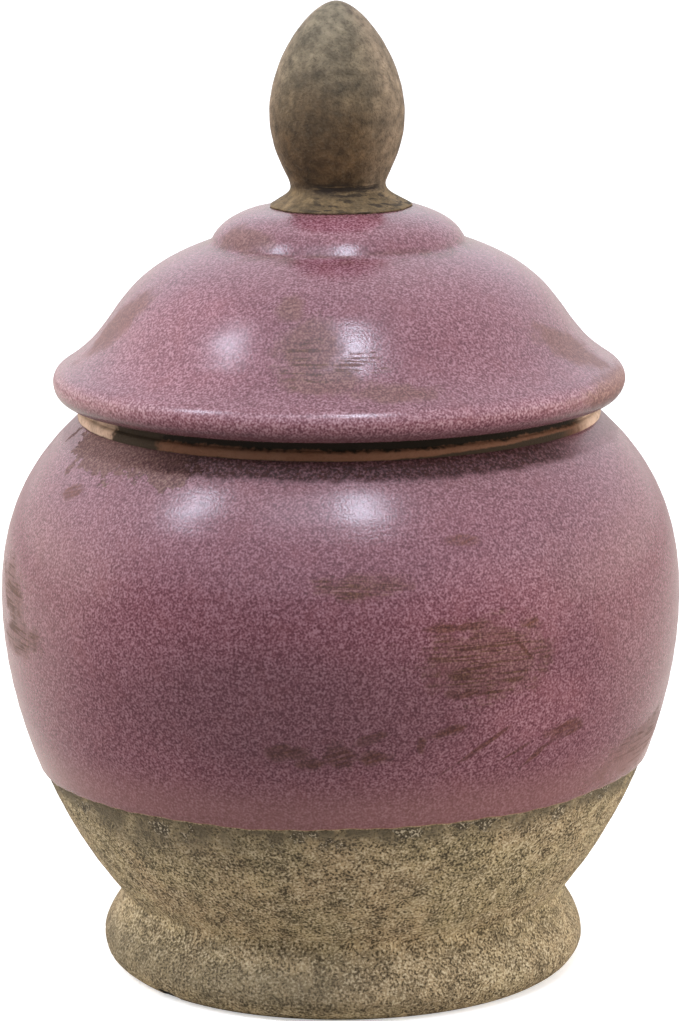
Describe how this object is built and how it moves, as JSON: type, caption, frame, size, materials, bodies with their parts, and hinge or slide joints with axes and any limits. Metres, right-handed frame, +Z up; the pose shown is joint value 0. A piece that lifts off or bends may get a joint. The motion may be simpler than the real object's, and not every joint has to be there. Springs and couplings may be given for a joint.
{
  "type": "lidded storage jar",
  "caption": "Round-bellied clay storage jar on a flared bare foot, dipped in speckled plum glaze, with a domed lift-off lid and a bare clay bud finial.",
  "frame": {"origin": "on the table, on the jar's axis, at the middle of the foot's tread", "axes": "+Z up along the axis that the jar and lid are turned about; X and Y are free"},
  "size_m": [0.21, 0.21, 0.2987],
  "materials": {
    "bare_clay": "bare, pitted olive-tan stoneware, dry and matt",
    "neck_clay": "bare orange-tan stoneware, smooth and matt, stained dark in places",
    "finial_clay": "bare grey-brown stoneware, mottled, smooth and matt",
    "plum_glaze": "satin plum glaze with fine pale specks and rubbed brown patches"
  },
  "bodies": {
    "jar": {"foot_ring": "bare_clay", "lower_bowl": "bare_clay", "shoulder": "bare_clay", "neck_collar": "neck_clay", "jar_glaze": "plum_glaze"},
    "lid": {"lid_dome": "bare_clay", "lid_flange": "neck_clay", "finial": "finial_clay", "lid_glaze": "plum_glaze"}
  },
  "joints": [
    {"name": "lid_lift", "type": "slide", "parent": "jar", "child": "lid", "axis": [0, 0, 1], "range_m": [0, 0.2]}
  ]
}
